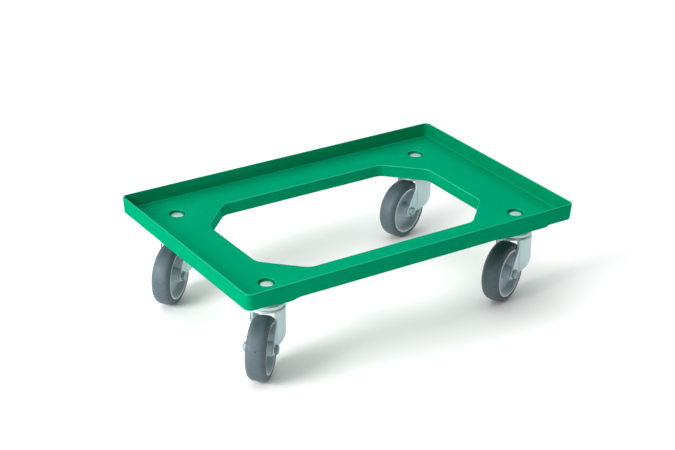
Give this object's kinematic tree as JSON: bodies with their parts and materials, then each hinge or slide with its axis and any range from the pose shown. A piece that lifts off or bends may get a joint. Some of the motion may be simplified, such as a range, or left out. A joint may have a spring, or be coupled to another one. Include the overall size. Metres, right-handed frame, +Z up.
{
  "type": "platform trolley",
  "caption": "Low moulded plastic platform trolley with a raised rim and a central opening, carried on swivel castors.",
  "frame": {"origin": "on the floor, below the middle of the whole trolley", "axes": "+X along the deck's long side, +Y across it, +Z up"},
  "size_m": [0.6151, 0.4167, 0.166],
  "materials": {
    "green_plastic": "moulded green polypropylene, softly glossy",
    "zinc_steel": "pressed steel sheet, bright zinc plated",
    "bolt_steel": "zinc plated bolts, nuts and washers",
    "bearing_steel": "polished bearing steel",
    "grey_plastic": "moulded grey polypropylene",
    "grey_tyre": "grey thermoplastic rubber, smooth"
  },
  "bodies": {
    "base": {"deck": "green_plastic", "front_left_mount_bolt": "bolt_steel", "front_left_head_plate": "zinc_steel", "front_left_kingpin": "zinc_steel", "front_left_washer": "bolt_steel", "front_left_lock_nut": "bolt_steel", "front_right_mount_bolt": "bolt_steel", "front_right_head_plate": "zinc_steel", "front_right_kingpin": "zinc_steel", "front_right_washer": "bolt_steel", "front_right_lock_nut": "bolt_steel", "rear_left_mount_bolt": "bolt_steel", "rear_left_head_plate": "zinc_steel", "rear_left_kingpin": "zinc_steel", "rear_left_washer": "bolt_steel", "rear_left_lock_nut": "bolt_steel", "rear_right_mount_bolt": "bolt_steel", "rear_right_head_plate": "zinc_steel", "rear_right_kingpin": "zinc_steel", "rear_right_washer": "bolt_steel", "rear_right_lock_nut": "bolt_steel"},
    "front_left_swivel_fork": {"front_left_fork": "zinc_steel", "front_left_axle_bolt": "bolt_steel", "front_left_axle_nut": "bolt_steel", "front_left_axle_sleeve": "bearing_steel"},
    "front_left_wheel": {"front_left_wheel_centre": "grey_plastic", "front_left_tyre": "grey_tyre"},
    "front_left_balls": {"front_left_upper_ball_ring": "bearing_steel", "front_left_lower_ball_ring": "bearing_steel"},
    "front_right_swivel_fork": {"front_right_fork": "zinc_steel", "front_right_axle_bolt": "bolt_steel", "front_right_axle_nut": "bolt_steel", "front_right_axle_sleeve": "bearing_steel"},
    "front_right_wheel": {"front_right_wheel_centre": "grey_plastic", "front_right_tyre": "grey_tyre"},
    "front_right_balls": {"front_right_upper_ball_ring": "bearing_steel", "front_right_lower_ball_ring": "bearing_steel"},
    "rear_left_swivel_fork": {"rear_left_fork": "zinc_steel", "rear_left_axle_bolt": "bolt_steel", "rear_left_axle_nut": "bolt_steel", "rear_left_axle_sleeve": "bearing_steel"},
    "rear_left_wheel": {"rear_left_wheel_centre": "grey_plastic", "rear_left_tyre": "grey_tyre"},
    "rear_left_balls": {"rear_left_upper_ball_ring": "bearing_steel", "rear_left_lower_ball_ring": "bearing_steel"},
    "rear_right_swivel_fork": {"rear_right_fork": "zinc_steel", "rear_right_axle_bolt": "bolt_steel", "rear_right_axle_nut": "bolt_steel", "rear_right_axle_sleeve": "bearing_steel"},
    "rear_right_wheel": {"rear_right_wheel_centre": "grey_plastic", "rear_right_tyre": "grey_tyre"},
    "rear_right_balls": {"rear_right_upper_ball_ring": "bearing_steel", "rear_right_lower_ball_ring": "bearing_steel"}
  },
  "joints": [
    {"name": "front_left_swivel", "type": "hinge", "parent": "base", "child": "front_left_swivel_fork", "pos_m": [-0.236, -0.1415, 0.107], "axis": [0, 0, 1], "continuous": true},
    {"name": "front_left_wheel_spin", "type": "hinge", "parent": "front_left_swivel_fork", "child": "front_left_wheel", "pos_m": [-0.26112, -0.16798, 0.05], "axis": [0.7254, -0.6884, 0], "continuous": true},
    {"name": "front_left_ball_race", "type": "hinge", "parent": "base", "child": "front_left_balls", "pos_m": [-0.236, -0.1415, 0.107], "axis": [0, 0, 1], "continuous": true},
    {"name": "front_right_swivel", "type": "hinge", "parent": "base", "child": "front_right_swivel_fork", "pos_m": [0.236, -0.1415, 0.107], "axis": [0, 0, 1], "continuous": true},
    {"name": "front_right_wheel_spin", "type": "hinge", "parent": "front_right_swivel_fork", "child": "front_right_wheel", "pos_m": [0.20281, -0.15669, 0.05], "axis": [0.4163, -0.9092, 0], "continuous": true},
    {"name": "front_right_ball_race", "type": "hinge", "parent": "base", "child": "front_right_balls", "pos_m": [0.236, -0.1415, 0.107], "axis": [0, 0, 1], "continuous": true},
    {"name": "rear_left_swivel", "type": "hinge", "parent": "base", "child": "rear_left_swivel_fork", "pos_m": [-0.236, 0.1415, 0.107], "axis": [0, 0, 1], "continuous": true},
    {"name": "rear_left_wheel_spin", "type": "hinge", "parent": "rear_left_swivel_fork", "child": "rear_left_wheel", "pos_m": [-0.26392, 0.11799, 0.05], "axis": [0.6441, -0.7649, 0], "continuous": true},
    {"name": "rear_left_ball_race", "type": "hinge", "parent": "base", "child": "rear_left_balls", "pos_m": [-0.236, 0.1415, 0.107], "axis": [0, 0, 1], "continuous": true},
    {"name": "rear_right_swivel", "type": "hinge", "parent": "base", "child": "rear_right_swivel_fork", "pos_m": [0.236, 0.1415, 0.107], "axis": [0, 0, 1], "continuous": true},
    {"name": "rear_right_wheel_spin", "type": "hinge", "parent": "rear_right_swivel_fork", "child": "rear_right_wheel", "pos_m": [0.20143, 0.1298, 0.05], "axis": [0.3206, -0.9472, 0], "continuous": true},
    {"name": "rear_right_ball_race", "type": "hinge", "parent": "base", "child": "rear_right_balls", "pos_m": [0.236, 0.1415, 0.107], "axis": [0, 0, 1], "continuous": true}
  ],
  "couplings": [
    {"joint": "front_left_ball_race", "follows": "front_left_swivel", "ratio": 0.5},
    {"joint": "front_right_ball_race", "follows": "front_right_swivel", "ratio": 0.5},
    {"joint": "rear_left_ball_race", "follows": "rear_left_swivel", "ratio": 0.5},
    {"joint": "rear_right_ball_race", "follows": "rear_right_swivel", "ratio": 0.5}
  ]
}
